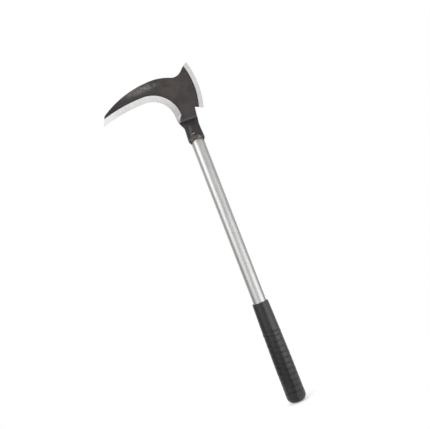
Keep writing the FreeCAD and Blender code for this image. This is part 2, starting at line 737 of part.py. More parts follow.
def draw_groove(sketch, z, z_of):
    """Section of one ring groove: sloping sides, a narrow flat floor, open to the outside."""
    surface = barrel_radius_at(z)
    floor, rim = dim("groove_floor") / 2, dim("groove_mouth") / 2
    inside, outside = surface - dim("groove_depth"), surface + dim("groove_depth")
    far = 2 * rim - floor
    polygon(sketch, [
        (inside, z - floor, None, f"{z_of} - dims.groove_floor / 2"),
        (outside, z - far, None, f"{z_of} - dims.groove_mouth + dims.groove_floor / 2"),
        (outside, z + far, None, f"{z_of} + dims.groove_mouth - dims.groove_floor / 2"),
        (inside, z + floor, None, f"{z_of} + dims.groove_floor / 2"),
    ])


def build_grip():
    """Rubber sleeve closed at the butt: barrelled outside, ring grooves and one raised collar."""
    body = new_body("grip")
    section = new_sketch(body, "grip_section", "XZ_Plane")
    flat = Vector(dim("grip_flat_radius"), 0, 0)
    side = Vector(dim("grip_butt_radius"), dim("grip_dome_z"), 0)
    mouth = Vector(dim("grip_mouth_radius"), dim("grip_length"), 0)
    bore = dim("tube_diameter") / 2
    draw_outline(section, Vector(), [
        line(flat, x_of="dims.grip_flat_radius", y_of="0"),
        arc(side, "grip_dome_radius", 1, x_of="dims.grip_butt_radius", y_of="dims.grip_dome_z"),
        arc(mouth, "grip_barrel_radius", 1, x_of="dims.grip_mouth_radius", y_of="dims.grip_length"),
        line(Vector(bore, dim("grip_length"), 0), x_of="dims.tube_diameter / 2",
             y_of="dims.grip_length"),
        line(Vector(bore, dim("tube_foot_z"), 0), x_of="dims.tube_diameter / 2",
             y_of="dims.tube_foot_z"),
        line(Vector(0, dim("tube_foot_z"), 0), x_of="0", y_of="dims.tube_foot_z"),
        line(Vector(), x_of="0", y_of="0"),
    ])
    revolve(body, "Revolution", "grip_sleeve", section)

    collar = new_sketch(body, "collar_section", "XZ_Plane")
    collar_z, width = dim("collar_z"), dim("collar_width")
    surface = barrel_radius_at(collar_z)
    rise = dim("collar_rise")
    polygon(collar, [
        (bore, collar_z - width / 2, "dims.tube_diameter / 2", "dims.collar_z - dims.collar_width / 2"),
        (surface + rise, collar_z - width / 2, None, "dims.collar_z - dims.collar_width / 2"),
        (surface + rise, collar_z + width / 2, None, "dims.collar_z + dims.collar_width / 2"),
        (bore, collar_z + width / 2, "dims.tube_diameter / 2", "dims.collar_z + dims.collar_width / 2"),
    ])
    revolve(body, "Revolution", "grip_collar", collar)

    grooves = new_sketch(body, "groove_sections", "XZ_Plane")
    centres = [(dim("groove_first_z") + turn * dim("groove_pitch"),
                f"dims.groove_first_z + {turn} * dims.groove_pitch")
               for turn in range(int(dim("groove_count")))]
    centres.append((collar_z + width / 2, "dims.collar_z + dims.collar_width / 2"))
    for z, z_of in centres:
        draw_groove(grooves, z, z_of)
    revolve(body, "Groove", "grip_grooves", grooves)

    def on_outer_lip(edge):
        box = edge.BoundBox
        return box.ZMin > mouth.y - SAME_PLACE and box.XLength > mouth.x + bore

    round_edges(body, "grip_lip", on_outer_lip, "dims.grip_lip_round")


# ---------------------------------------------------------------- model

build_handle_tube()
build_blade_body()
build_sickle_edge()
build_hatchet_edge()
build_socket()
build_rim_weld()
build_tongue_weld()
build_lock_pin()
build_grip()
doc.recompute()
build_neck_weld()
doc.recompute()

for item in doc.Objects:
    if "Invalid" in item.State or "Error" in item.State:
        raise RuntimeError(f"{item.Name} did not build: {item.State}")

os.makedirs("parts", exist_ok=True)
for subpart in SUBPARTS:
    shape = subpart.Shape
    if shape.isNull() or not shape.isValid():
        raise RuntimeError(f"{subpart.Label} has no valid shape")
    shape.exportStep(f"parts/{subpart.Label}.step")
    print(f"{subpart.Label}: {len(shape.Solids)} solid, {shape.Volume / 1000:.2f} cm3")
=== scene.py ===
import math

import bmesh
import bpy
import numpy as np
from mathutils import Matrix, Vector


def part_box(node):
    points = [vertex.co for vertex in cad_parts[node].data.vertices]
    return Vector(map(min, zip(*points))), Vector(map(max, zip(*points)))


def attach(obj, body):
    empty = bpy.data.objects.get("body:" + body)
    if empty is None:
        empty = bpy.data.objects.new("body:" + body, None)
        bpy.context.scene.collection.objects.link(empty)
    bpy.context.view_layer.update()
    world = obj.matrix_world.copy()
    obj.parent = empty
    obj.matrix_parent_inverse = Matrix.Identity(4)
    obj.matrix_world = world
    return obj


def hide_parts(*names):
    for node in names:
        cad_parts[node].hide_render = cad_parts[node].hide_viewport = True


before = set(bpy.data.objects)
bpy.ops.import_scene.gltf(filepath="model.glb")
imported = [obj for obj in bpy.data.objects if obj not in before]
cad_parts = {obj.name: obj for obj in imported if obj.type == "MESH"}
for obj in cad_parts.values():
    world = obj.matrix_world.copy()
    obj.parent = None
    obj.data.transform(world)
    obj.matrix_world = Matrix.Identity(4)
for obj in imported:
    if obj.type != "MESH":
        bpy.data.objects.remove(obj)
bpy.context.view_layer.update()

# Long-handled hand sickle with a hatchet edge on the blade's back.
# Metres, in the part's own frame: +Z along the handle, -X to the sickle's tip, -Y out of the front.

MM = 0.001

# ---------------------------------------------------------------- places read from the frame

_, GRIP_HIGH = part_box("grip")
TUBE_LOW, TUBE_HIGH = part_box("handle_tube")
RIM_LOW, RIM_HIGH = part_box("rim_weld")

TUBE_RADIUS = TUBE_HIGH.x
GRIP_LENGTH = GRIP_HIGH.z

# The root of the hook's ground edge, in millimetres: a quarter turn at the elbow, then a long sweep.
ELBOW_X, ELBOW_Z, ELBOW_RADIUS = -60.2, 520.0, 50.8
SWEEP_RADIUS = 258.0
SWEEP_Z = ELBOW_Z + ELBOW_RADIUS - SWEEP_RADIUS

# The root of the hatchet's ground edge, the plate's foot, and the lean of the socket's seam.
HATCHET_X, HATCHET_Z, HATCHET_RADIUS = -97.1, 559.3, 126.0
PLATE_FOOT_Z = 508.5
SEAM_FOOT_X, SEAM_TOP_X = -5.6, 0.4
SEAM_FOOT_Z, SEAM_TOP_Z = 467, 498

# Handle tube: wall, rounding of its ends, and rows of faces up its side.
TUBE_WALL, TUBE_CORNER, TUBE_ROWS = 1.0, 0.25, 40

# Rubber grip: domed butt, barrelled side, ring grooves, a raised collar and a rounded mouth.
BUTT_RADIUS = GRIP_HIGH.x / MM
MOUTH_RADIUS = 13.85
DOME_TOP, DOME_RADIUS, DOME_STEPS = 11.0, 11.0, 16
FLAT_RADIUS = 6.0
BARREL_BULGE = 2.24
GROOVES = [20.0 + 10.0 * turn for turn in range(11)] + [127.5]
GROOVE_MOUTH, GROOVE_FLOOR, GROOVE_DEPTH = 3.4, 1.2, 1.15
COLLAR_LOW, COLLAR_HIGH, COLLAR_RISE = 120.5, 127.5, 0.35
LIP_INSET, LIP_BACK, LIP_ROUND = 0.5, 0.45, 0.95
BORE_SHOWN, BORE_ROUND, BORE_CLEARANCE = 12.0, 0.3, 0.02
FLASH_HEIGHT, FLASH_WIDTH = 0.16, 0.0009


# ---------------------------------------------------------------- shader building

class Shader:
    """A procedural material built node by node; place is the point on the object, in millimetres."""

    def __init__(self, name):
        self.material = bpy.data.materials.new(name)
        self.material.use_nodes = True
        self.tree = self.material.node_tree
        self.tree.nodes.clear()
        coordinates = self.add("ShaderNodeTexCoord")
        self.place = self.vector("SCALE", coordinates.outputs["Object"], scale=1 / MM)

    def add(self, kind, **settings):
        node = self.tree.nodes.new(kind)
        for name, value in settings.items():
            setattr(node, name, value)
        return node

    def feed(self, socket, value):
        if isinstance(value, bpy.types.NodeSocket):
            self.tree.links.new(value, socket)
        elif value is not None:
            socket.default_value = value

    def math(self, operation, first, second=None, third=None, clamp=False):
        node = self.add("ShaderNodeMath", operation=operation, use_clamp=clamp)
        for socket, value in zip(node.inputs, (first, second, third)):
            self.feed(socket, value)
        return node.outputs[0]

    def vector(self, operation, first, second=None, scale=None):
        node = self.add("ShaderNodeVectorMath", operation=operation)
        self.feed(node.inputs[0], first)
        self.feed(node.inputs[1], second)
        if scale is not None:
            self.feed(node.inputs["Scale"], scale)
        return node.outputs["Value" if operation in ("LENGTH", "DISTANCE") else "Vector"]

    def parts(self, vector):
        node = self.add("ShaderNodeSeparateXYZ")
        self.feed(node.inputs[0], vector)
        return node.outputs

    def join(self, x, y, z):
        node = self.add("ShaderNodeCombineXYZ")
        for socket, value in zip(node.inputs, (x, y, z)):
            self.feed(socket, value)
        return node.outputs[0]

    def noise(self, vector, scale, detail=3.0, roughness=0.55, distortion=0.0):
        """Noise from 0 to 1; scale is in turns per millimetre."""
        node = self.add("ShaderNodeTexNoise")
        self.feed(node.inputs["Vector"], vector)
        for name, value in (("Scale", scale), ("Detail", detail), ("Roughness", roughness),
                            ("Distortion", distortion)):
            self.feed(node.inputs[name], value)
        return node.outputs["Fac"]

    def span(self, value, low, high, to_low=0.0, to_high=1.0, smooth=True):
        """Value carried from low..high to to_low..to_high, and held there outside."""
        node = self.add("ShaderNodeMapRange", interpolation_type="SMOOTHSTEP" if smooth else "LINEAR")
        for socket, number in zip(node.inputs, (value, low, high, to_low, to_high)):
            self.feed(socket, number)
        return node.outputs[0]

    def blend(self, amount, first, second, kind="MIX"):
        """Colour mix; colours are (r, g, b) or sockets."""
        node = self.add("ShaderNodeMix", data_type="RGBA", blend_type=kind)
        colours = [c if isinstance(c, bpy.types.NodeSocket) else (*c, 1.0) for c in (first, second)]
        self.feed(node.inputs[0], amount)
        self.feed(node.inputs[6], colours[0])
        self.feed(node.inputs[7], colours[1])
        return node.outputs[2]

    def band(self, value, start, full, end, gone):
        """1 from full to end, falling to 0 at start and gone."""
        return self.math("MULTIPLY", self.span(value, start, full), self.span(value, end, gone, 1.0, 0.0))

    def near(self, centre, reach, squash=(1, 1, 1)):
        """1 at a place in millimetres, falling to 0 at reach; squash stretches the patch."""
        offset = self.vector("SUBTRACT", self.place, centre)
        offset = self.vector("MULTIPLY", offset, tuple(1 / s for s in squash))
        return self.span(self.vector("LENGTH", offset), 0.0, reach, 1.0, 0.0)

    def worn_edge(self, radius, low, high):
        """1 on outside edges and corners that a rounding of radius millimetres would touch."""
        rounded = self.add("ShaderNodeBevel", samples=4)
        rounded.inputs["Radius"].default_value = radius * MM
        true_normal = self.add("ShaderNodeNewGeometry").outputs["Normal"]
        return self.span(self.vector("DISTANCE", rounded.outputs[0], true_normal), low, high)

    def bump(self, height, depth, normal=None):
        """Bump whose height 0..1 stands for a depth in millimetres."""
        node = self.add("ShaderNodeBump")
        node.inputs["Strength"].default_value = 1.0
        node.inputs["Distance"].default_value = depth * MM
        self.feed(node.inputs["Height"], height)
        self.feed(node.inputs["Normal"], normal)
        return node.outputs[0]

    def finish(self, colour, roughness, normal=None, **constants):
        surface = self.add("ShaderNodeBsdfPrincipled")
        self.feed(surface.inputs["Base Color"], colour)
        self.feed(surface.inputs["Roughness"], roughness)
        self.feed(surface.inputs["Normal"], normal)
        for name, value in constants.items():
            surface.inputs[name.replace("_", " ")].default_value = value
        output = self.add("ShaderNodeOutputMaterial")
        self.tree.links.new(surface.outputs[0], output.inputs["Surface"])
        return self.material


def forged_steel(name, tint, sheen):
    """Forge-black steel: uneven scale, flaked spots, worn bright edges.

    tint(shader, colour, broad) adds the marks of one piece."""
    shader = Shader(name)
    place = shader.place
    broad = shader.noise(place, 0.045, 4.0, 0.6, 0.6)
    patches = shader.noise(place, 0.22, 5.0, 0.68, 0.5)
    grain = shader.noise(place, 1.1, 5.0, 0.65)

    colour = shader.blend(shader.span(broad, 0.3, 0.72), (0.0145, 0.0118, 0.0128), (0.034, 0.0262, 0.0232))
    colour = shader.blend(shader.math("MULTIPLY", shader.span(patches, 0.50, 0.68), 0.55), colour,
                          (0.049, 0.041, 0.0375))
    colour = tint(shader, colour, broad)
    flaked = shader.span(shader.noise(place, 0.75, 4.0, 0.7, 0.3), 0.64, 0.70)
    colour = shader.blend(shader.math("MULTIPLY", flaked, 0.55), colour, (0.135, 0.125, 0.118))
    rubbed = shader.math("MULTIPLY", shader.worn_edge(0.9, 0.10, 0.55), shader.span(patches, 0.34, 0.60))
    colour = shader.blend(shader.math("MULTIPLY", rubbed, 0.8), colour, (0.30, 0.29, 0.28))

    height = shader.math("MULTIPLY_ADD", grain, 0.5, shader.math("MULTIPLY", patches, 0.9))
    height = shader.math("SUBTRACT", height, shader.math("MULTIPLY", flaked, 0.25))
    roughness = shader.math("SUBTRACT", shader.span(patches, 0.25, 0.75, 0.42, 0.60),
                            shader.math("MULTIPLY", rubbed, 0.12))
    return shader.finish(colour, roughness, shader.bump(height, 0.28), Metallic=0.0,
                         Specular_IOR_Level=sheen)


def blade_tint(shader, colour, broad):
    """Pale patch along the hook on the front face, red and violet heat tints, a painted shadow above the
    root of the hook's edge, worn strip along the plate's foot.
    """
    place = shader.place
    flecks = shader.noise(place, 0.34, 5.0, 0.72, 0.4)
    front = shader.span(shader.parts(place)[1], -0.8, -2.4, 0.3, 1.0)
    pale = shader.math("MULTIPLY", shader.near((-60, -3, 583.8), 46, (1, 1, 0.20)),
                       shader.span(flecks, 0.38, 0.60))
    pale = shader.math("MULTIPLY", shader.math("MULTIPLY", pale, front), 0.9)
    colour = shader.blend(pale, colour, (0.205, 0.198, 0.193))
    olive = shader.math("MULTIPLY", shader.near((4, -3, 572), 26, (1, 1, 0.8)),
                        shader.span(flecks, 0.35, 0.65))
    colour = shader.blend(shader.math("MULTIPLY", olive, 0.4), colour, (0.088, 0.078, 0.062))
    red = shader.math("MULTIPLY", shader.near((-14, -3, 565), 30, (1, 1, 0.9)),
                      shader.span(broad, 0.25, 0.55))
    colour = shader.blend(shader.math("MULTIPLY", red, 0.7), colour, (0.058, 0.035, 0.030))
    violet = shader.near((2, -3, 522), 26, (0.8, 1, 0.9))
    colour = shader.blend(shader.math("MULTIPLY", violet, 0.6), colour, (0.047, 0.0385, 0.0425))
    # Painted shadow: a dark band just above the root of the hook's ground edge, as if cast by the bevel's
    # shoulder.
    above_root = along_the_hook(shader)[1]
    shoulder = shader.math("MULTIPLY", shader.band(above_root, -0.5, 0.4, 2.0, 5.0),
                           shader.span(broad, 0.30, 0.50, 0.35, 0.75))
    colour = shader.blend(shoulder, colour, (0.013, 0.012, 0.012))
    height = shader.parts(place)[2]
    foot = shader.math("MULTIPLY", shader.span(height, 513.0, 509.5), shader.span(flecks, 0.30, 0.55))
    foot = shader.math("MULTIPLY", shader.math("MULTIPLY", foot, front), 0.45)
    colour = shader.blend(foot, colour, (0.120, 0.112, 0.116))
    tip = shader.near((-118, -3, 568), 26)
    return shader.blend(tip, colour, (0.007, 0.006, 0.007))


def socket_tint(shader, colour, broad):
    """Painted shade in the crease under the blade, a painted highlight band beside the seam, olive lobes at
    the rim.
    """
    x, y, z = shader.parts(shader.place)
    # Painted shade: darkens the crease under the blade's foot, fading out towards +x.
    darkening = shader.math("MULTIPLY", shader.band(z, 501.5, 504.0, 508.0, 510.0), shader.span(x, 11, 6))
    colour = shader.blend(shader.math("MULTIPLY", darkening, 0.85), colour, (0.016, 0.0145, 0.015))
    # Painted highlight: a lighter band just left of the seam, on the front only.
    lean = shader.span(z, SEAM_FOOT_Z, SEAM_TOP_Z, SEAM_FOOT_X, SEAM_TOP_X, smooth=False)
    seam = shader.math("SUBTRACT", x, lean)
    band = shader.math("MULTIPLY", shader.band(seam, -6.0, -4.0, -1.5, -0.4),
                       shader.band(z, 476, 483, 490, 503))
    band = shader.math("MULTIPLY", band, shader.span(y, 0, -4))
    colour = shader.blend(shader.math("MULTIPLY", band, 0.45), colour, (0.105, 0.108, 0.100))
    lobes = shader.blend(shader.span(x, 2, -9), (0.064, 0.062, 0.052), (0.130, 0.126, 0.112))
    return shader.blend(shader.span(z, 481, 472, 0.0, 0.8), colour, lobes)


def along_the_hook(shader):
    """(distance along the hook, distance out from the root of its edge towards the spine), in mm."""
    x, _, z = shader.parts(shader.place)
    from_x = shader.math("SUBTRACT", x, ELBOW_X)
    places = []
    for centre_z, radius in ((ELBOW_Z, ELBOW_RADIUS), (SWEEP_Z, SWEEP_RADIUS)):
        from_z = shader.math("SUBTRACT", z, centre_z)
        along = shader.math("MULTIPLY", shader.math("ARCTAN2", from_x, from_z), radius)
        reach = shader.vector("LENGTH", shader.join(from_x, 0.0, from_z))
        places.append(shader.join(along, shader.math("SUBTRACT", reach, radius), 0.0))
    past_elbow = shader.math("LESS_THAN", from_x, 0.0)
    along, out, _ = shader.parts(shader.blend(past_elbow, *places))
    return along, out


def ground_steel(name, follow_hook):
    """Bright ground bevel, its grinding lines running from the root to the cutting edge."""
    shader = Shader(name)
    x, y, z = shader.parts(shader.place)
    along, across = along_the_hook(shader) if follow_hook else (z, x)
    lines = shader.join(along, shader.math("MULTIPLY", across, 0.06), shader.math("MULTIPLY", y, 0.2))
    scratch = shader.noise(lines, 2.6, 5.0, 0.7)
    deep = shader.span(shader.noise(lines, 0.9, 3.0, 0.6), 0.60, 0.75)
    broad = shader.noise(shader.place, 0.06, 3.0, 0.5)
    colour = shader.blend(shader.span(scratch, 0.3, 0.7), (0.65, 0.645, 0.64), (0.86, 0.855, 0.85))
    colour = shader.blend(shader.math("MULTIPLY", deep, 0.25), colour, (0.50, 0.495, 0.49))
    colour = shader.blend(shader.math("MULTIPLY", shader.span(broad, 0.45, 0.7), 0.25), colour,
                          (0.70, 0.68, 0.67))
    # Painted shade: the bevel darkens towards the neck; on the hook, a painted highlight brightens it
    # towards the tip.
    if follow_hook:
        colour = shader.blend(shader.span(z, 570, 516, 0.0, 0.9), colour, (0.32, 0.313, 0.317))
    else:
        colour = shader.blend(shader.span(z, 580, 520, 0.0, 0.56), colour, (0.40, 0.39, 0.395))
    if follow_hook:
        colour = shader.blend(shader.span(x, -95, -128, 0.0, 0.8), colour, (0.90, 0.895, 0.89))
        heel = shader.near((-17, -3, 509), 12)
        colour = shader.blend(shader.math("MULTIPLY", heel, 0.7), colour, (0.16, 0.145, 0.155))
    roughness = shader.span(scratch, 0.3, 0.7, 0.32, 0.46)
    return shader.finish(colour, roughness, shader.bump(scratch, 0.014), Metallic=0.8,
                         Specular_IOR_Level=0.5)


def satin_tube():
    """Stainless tube, drawn lengthwise, with a straw heat tint under the socket's weld."""
    shader = Shader("satin_stainless")
    x, y, z = shader.parts(shader.place)
    drawn = shader.noise(shader.join(x, y, shader.math("MULTIPLY", z, 0.012)), 2.2, 4.0, 0.65)
    scuffs = shader.noise(shader.join(x, y, shader.math("MULTIPLY", z, 0.25)), 0.35, 4.0, 0.6, 0.5)
    colour = shader.blend(shader.span(drawn, 0.3, 0.7), (0.53, 0.53, 0.525), (0.63, 0.63, 0.625))
    rim = RIM_LOW.z / MM
    straw = shader.span(z, rim - 12, rim + 3)
    colour = shader.blend(shader.math("MULTIPLY", straw, 0.4), colour, (0.48, 0.43, 0.37))
    darkening = shader.math("MULTIPLY", shader.span(z, rim - 1, rim + 8), shader.span(scuffs, 0.25, 0.55))
    colour = shader.blend(shader.math("MULTIPLY", darkening, 0.7), colour, (0.17, 0.155, 0.14))
    roughness = shader.math("ADD", shader.span(drawn, 0.3, 0.7, 0.27, 0.38),
                            shader.span(scuffs, 0.5, 0.75, 0.0, 0.10))
    return shader.finish(colour, roughness, shader.bump(drawn, 0.006), Metallic=1.0)


def weld_metal():
    """Weld bead: brown temper colours in front, sooty at the sides, a painted highlight on its front, one
    clean end.
    """
    shader = Shader("weld_metal")
    x, y, z = shader.parts(shader.place)
    patches = shader.noise(shader.place, 0.30, 4.0, 0.65, 0.8)
    grain = shader.noise(shader.place, 1.8, 4.0, 0.6)
    colour = shader.blend(shader.span(patches, 0.35, 0.65), (0.058, 0.048, 0.044), (0.106, 0.090, 0.084))
    front = shader.math("MULTIPLY", shader.span(y, -6.0, -9.5), shader.span(z, 490, 480))
    colour = shader.blend(front, (0.034, 0.031, 0.027), colour)
    left = shader.math("MULTIPLY", shader.band(x, -12.5, -10.0, -8.0, -5.0), front)
    colour = shader.blend(shader.math("MULTIPLY", left, 0.75), colour, (0.19, 0.182, 0.165))
    ends = shader.math("MULTIPLY", shader.span(x, 6.5, 11.0), shader.span(z, 500, 504))
    colour = shader.blend(ends, colour, (0.098, 0.088, 0.086))
    # Painted highlight: a bright glint on the front of the rim bead.
    bright = shader.math("MULTIPLY", shader.near((5.5, -12, 475.5), 4.0), shader.span(grain, 0.25, 0.55))
    colour = shader.blend(shader.math("MULTIPLY", bright, 0.6), colour, (0.33, 0.315, 0.30))
    roughness = shader.span(grain, 0.3, 0.7, 0.38, 0.60)
    return shader.finish(colour, roughness, shader.bump(grain, 0.10), Metallic=0.35)


def pin_steel():
    """Lock pin's dished head: painted shade in the upper part of the dish, painted highlight on its lower
    part.
    """
    shader = Shader("pin_steel")
    height = shader.parts(shader.place)[2]
    marks = shader.noise(shader.place, 1.1, 4.0, 0.6)
    # Painted shade above and painted highlight below, as light falls in the dish.
    dish_lit_below = shader.span(shader.math("ADD", marks, height), 485.2, 484.4)
    colour = shader.blend(dish_lit_below, (0.022, 0.020, 0.019), (0.42, 0.41, 0.39))
    roughness = shader.span(marks, 0.3, 0.7, 0.34, 0.55)
    return shader.finish(colour, roughness, shader.bump(marks, 0.06), Metallic=0.6)


def moulded_rubber():
    """Black rubber: fine moulded grain, patchy dust, painted shade darker towards the butt, a painted
    highlight down its right side.
    """
    shader = Shader("moulded_rubber")
    grain = shader.noise(shader.place, 2.4, 3.0, 0.6)
    dust = shader.noise(shader.place, 0.07, 4.0, 0.6, 0.4)
    height = shader.parts(shader.place)[2]
    # Painted shade: both colours are darker towards the butt and lighter towards the top.
    above = shader.span(height, 40, 150)
    clean = shader.blend(above, (0.0030, 0.0030, 0.0033), (0.018, 0.018, 0.0182))
    dusty = shader.blend(above, (0.0050, 0.0050, 0.0052), (0.018, 0.0178, 0.0175))
    colour = shader.blend(shader.span(dust, 0.35, 0.7), clean, dusty)
    # Painted highlight: a lighter band down the grip's right side (+x).
    side = shader.math("MULTIPLY_ADD", dust, 4.0, shader.parts(shader.place)[0])
    right_highlight = shader.math("MULTIPLY", shader.span(side, 3.5, 6.5), 0.8)
    highlight_colour = shader.blend(above, (0.044, 0.044, 0.0445), (0.062, 0.062, 0.0625))
    colour = shader.blend(right_highlight, colour, highlight_colour)
    scuffs = shader.span(shader.noise(shader.place, 0.5, 5.0, 0.7, 0.6), 0.62, 0.72)
    colour = shader.blend(shader.math("MULTIPLY", scuffs, 0.3), colour, (0.045, 0.044, 0.043))
    worn_smooth = shader.math("MULTIPLY", shader.span(height, 90, 30),
                              shader.span(side, 2.0, -2.0, 0.0, 0.10))
    roughness = shader.math("ADD", shader.span(dust, 0.3, 0.7, 0.27, 0.36),
                            shader.math("MULTIPLY", scuffs, 0.12))
    roughness = shader.math("SUBTRACT", roughness, worn_smooth)
    return shader.finish(colour, roughness, shader.bump(grain, 0.06), Metallic=0.0,
                         Specular_IOR_Level=0.40)


# ---------------------------------------------------------------- meshes

def give(obj, material):
    obj.data.materials.clear()
    obj.data.materials.append(material)


def shade_smooth(mesh):
    mesh.polygons.foreach_set("use_smooth", [True] * len(mesh.polygons))


def value_noise(points, seed):
    """Smooth noise from -1 to 1 at points given in units of one wavelength."""
    cell = np.floor(points).astype(np.int64)
    inside = points - cell
    weight = inside * inside * (3 - 2 * inside)
    total = np.zeros(len(points))
    for corner in np.ndindex(2, 2, 2):
        at = cell + np.array(corner)
        mixed = (at[:, 0] * 73856093) ^ (at[:, 1] * 19349663) ^ (at[:, 2] * 83492791) ^ (seed * 2654435761)
        value = (mixed % 65521) / 65521 * 2 - 1
        share = np.ones(len(points))
        for axis in range(3):
            share *= weight[:, axis] if corner[axis] else 1 - weight[:, axis]
        total += share * value
    return total


def read(mesh, what):
    values = np.empty(len(mesh.vertices) * 3)
    mesh.vertices.foreach_get(what, values)
    return values.reshape(-1, 3)


def apply_modifiers(piece):
    piece.data = bpy.data.meshes.new_from_object(
        piece.evaluated_get(bpy.context.evaluated_depsgraph_get()))
    piece.modifiers.clear()
    return piece.data


def rework(node, name, voxel, smoothing, displace, material, press=None):
    """A finer, softened copy of a CAD node, pushed along its normals by displace(points, normals).

    Points, voxel size and displacement are in millimetres. Where press(points) gives a weight, the
    surface is also eased from front to back, as if pressed flat."""
    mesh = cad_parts[node].data.copy()
    piece = bpy.data.objects.new(name, mesh)
    bpy.context.scene.collection.objects.link(piece)
    welding = bmesh.new()
    welding.from_mesh(mesh)
    bmesh.ops.remove_doubles(welding, verts=welding.verts, dist=0.002 * MM)
    welding.to_mesh(mesh)
    welding.free()
    remesh = piece.modifiers.new("remesh", "REMESH")
    remesh.mode = "VOXEL"
    remesh.voxel_size = voxel * MM
    soften = piece.modifiers.new("soften", "SMOOTH")
    soften.factor = 0.5
    soften.iterations = smoothing
    fine = apply_modifiers(piece)
    if press:
        group = piece.vertex_groups.new(name="pressed")
        for index, weight in enumerate(press(read(fine, "co") / MM)):
            if weight > 0.01:
                group.add([index], float(weight), "REPLACE")
        ease = piece.modifiers.new("ease", "SMOOTH")
        ease.factor, ease.iterations, ease.vertex_group = 0.5, 90, group.name
        ease.use_x = ease.use_z = False
        fine = apply_modifiers(piece)
        piece.vertex_groups.clear()
    points, normals = read(fine, "co") / MM, read(fine, "normal")
    moved = points + normals * displace(points, normals)[:, None]
    fine.vertices.foreach_set("co", (moved * MM).ravel())
    fine.update()
    shade_smooth(fine)
    stand_in(piece, node, material)


def hammered(depth, seed):
    """Low hammer facets and finer scale, to a depth in millimetres."""
    def displace(points, normals):
        low = value_noise(points / 11.0, seed)
        middle = value_noise(points / 4.2, seed + 1)
        return depth * (0.6 * low + 0.4 * middle)
    return displace


def shoulder_weight(points):
    """1 where the round socket passes into its flat tongue, 0 away from it."""
    z = points[:, 2]
    return np.clip((z - 481) / 8, 0, 1) * np.clip((512 - z) / 6, 0, 1)


def root_distance(points):
    """Distance of points from the root line of the hook's ground edge, in millimetres."""
    across = points[:, 0] - ELBOW_X
    elbow = np.hypot(across, points[:, 2] - ELBOW_Z) - ELBOW_RADIUS
    sweep = np.hypot(across, points[:, 2] - SWEEP_Z) - SWEEP_RADIUS
    return np.where(across > 0, np.where(points[:, 2] > ELBOW_Z, elbow, 50.0), sweep)


def plate_surface(points, normals):
    """Hammered plate, left true along the ground edges that it meets."""
    hatchet_root = np.hypot(points[:, 0] - HATCHET_X, points[:, 2] - HATCHET_Z) - HATCHET_RADIUS
    clear = np.minimum(np.abs(root_distance(points)), np.abs(hatchet_root))
    return hammered(0.16, 3)(points, normals) * np.clip((clear - 0.6) / 5.0, 0, 1)


def bead(pitch, depth, laid):
    """Weld bead of overlapping crescents.

    laid(points) gives the distances along the bead and across it, and how strong its ripples are."""
    def displace(points, normals):
        along, across, strength = laid(points)
        uneven = 0.45 * value_noise(points / 3.4, 9) + 0.25 * value_noise(points / 1.7, 21)
        phase = (along + 0.16 * across ** 2) / pitch + uneven
        ripple = np.sqrt(np.abs(np.sin(math.pi * phase)))
        lumps = value_noise(points / 2.1, 5) + 0.5 * value_noise(points / 0.9, 6)
        return depth * (strength * (ripple - 0.7) + 0.45 * lumps)
    return displace


def laid_round_rim(points):
    middle = (RIM_LOW.z + RIM_HIGH.z) / 2 / MM
    turn = np.arctan2(points[:, 1], points[:, 0])
    strength = 0.25 + 0.75 * np.clip(np.abs(np.sin(turn)) * 1.6 - 0.5, 0, 1)
    return turn * TUBE_RADIUS / MM, (points[:, 2] - middle) / 3, strength


def laid_under_foot(points):
    return points[:, 0], points[:, 2] - PLATE_FOOT_Z, 1.0


def laid_round_tongue(points):
    """Up one side of the tongue, round its top and down the other side."""
    low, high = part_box("tongue_weld")
    middle = (low.x + high.x) / 2 / MM
    radius = (high.x - low.x) / 2 / MM
    above = points[:, 2] - high.z / MM + radius
    across = points[:, 0] - middle
    straight = np.sign(across) * (radius * math.pi / 2 - above)
    along = np.where(above < 0, straight, np.arctan2(across, np.maximum(above, 0.01)) * radius)
    return along, points[:, 1] - 1.5, 1.0


def turned(name, outline, around, reach, closed):
    """Mesh turned about the handle's axis.

    Outline is a list of rings; reach(ring, angle) gives the radius in millimetres and ring[1] the
    height. A closed outline joins its last ring to its first, an open one gets flat ends."""
    points = []
    for ring in outline:
        for step in range(around):
            angle = 2 * math.pi * step / around
            radius = reach(ring, angle) * MM
            points.append((radius * math.cos(angle), radius * math.sin(angle), ring[1] * MM))
    rows = len(outline)
    faces = []
    for row in range(rows if closed else rows - 1):
        above = (row + 1) % rows
        for step in range(around):
            following = (step + 1) % around
            faces.append((row * around + step, row * around + following,
                          above * around + following, above * around + step))
    if not closed:
        faces.append(tuple(reversed(range(around))))
        faces.append(tuple(range((rows - 1) * around, rows * around)))
    mesh = bpy.data.meshes.new(name)
    mesh.from_pydata(points, [], faces)
    mesh.update()
    shade_smooth(mesh)
    piece = bpy.data.objects.new(name, mesh)
    bpy.context.scene.collection.objects.link(piece)
    return piece


def stand_in(piece, node, material):
    """The piece takes the CAD node's place."""
    give(piece, material)
    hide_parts(node)
    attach(piece, "root")


def make_tube(material):
    """Handle tube with rounded ends and an open bore."""
    outside, bore = TUBE_RADIUS / MM, TUBE_RADIUS / MM - TUBE_WALL
    low, high = TUBE_LOW.z / MM, TUBE_HIGH.z / MM
    corner = TUBE_CORNER
    straight = high - low - 2 * corner
    outline = [(outside - corner, low), (outside, low + corner)]
    outline += [(outside, low + corner + straight * row / TUBE_ROWS) for row in range(1, TUBE_ROWS)]
    outline += [(outside, high - corner), (outside - corner, high), (bore + corner, high),
                (bore, high - corner), (bore, low + corner), (bore + corner, low)]
    piece = turned("satin_tube", outline, 128, lambda ring, angle: ring[0], closed=True)
    drill_for_pin(piece)
    stand_in(piece, "handle_tube", material)


